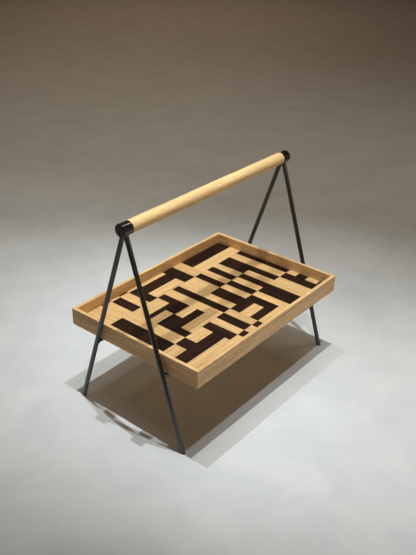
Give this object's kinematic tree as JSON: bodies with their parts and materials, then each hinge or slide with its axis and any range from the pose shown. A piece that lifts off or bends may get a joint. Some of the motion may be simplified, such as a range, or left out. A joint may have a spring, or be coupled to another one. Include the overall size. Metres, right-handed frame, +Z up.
{
  "type": "carry tray table",
  "caption": "Low tray table: a welded A-frame stand of black round bar with an oak carrying handle, holding a lift-off oak tray with a flush two-wood inlay.",
  "frame": {"origin": "on the floor, under the middle of the handle", "axes": "+X along the handle to the right, +Y to the back, +Z up"},
  "size_m": [0.5394, 0.35, 0.47],
  "materials": {
    "oak_rail": "satin lacquer",
    "oak_block": "satin lacquer",
    "wenge_block": "satin lacquer",
    "birch_ply": "sanded",
    "handle_oak": "satin lacquer",
    "black_steel": "satin powder coat",
    "black_nylon": "matte"
  },
  "bodies": {
    "stand": {"handle_dowel": "handle_oak", "left_cap": "black_steel", "right_cap": "black_steel", "left_grub_screw": "black_steel", "right_grub_screw": "black_steel", "front_left_leg": "black_steel", "back_left_leg": "black_steel", "front_right_leg": "black_steel", "back_right_leg": "black_steel", "front_stretcher": "black_steel", "back_stretcher": "black_steel", "front_left_glide": "black_nylon", "back_left_glide": "black_nylon", "front_right_glide": "black_nylon", "back_right_glide": "black_nylon"},
    "tray": {"front_rail": "oak_rail", "back_rail": "oak_rail", "left_rail": "oak_rail", "right_rail": "oak_rail", "corner_splines": "birch_ply", "panel_core": "birch_ply", "front_wenge_blocks": "wenge_block", "front_oak_blocks": "oak_block", "second_wenge_blocks": "wenge_block", "second_oak_blocks": "oak_block", "third_wenge_blocks": "wenge_block", "third_oak_blocks": "oak_block", "back_wenge_blocks": "wenge_block", "back_oak_blocks": "oak_block"}
  },
  "joints": [
    {"name": "tray_lift_out", "type": "slide", "parent": "stand", "child": "tray", "axis": [0, -0.9397, 0.342], "range_m": [0, 0.35]}
  ]
}
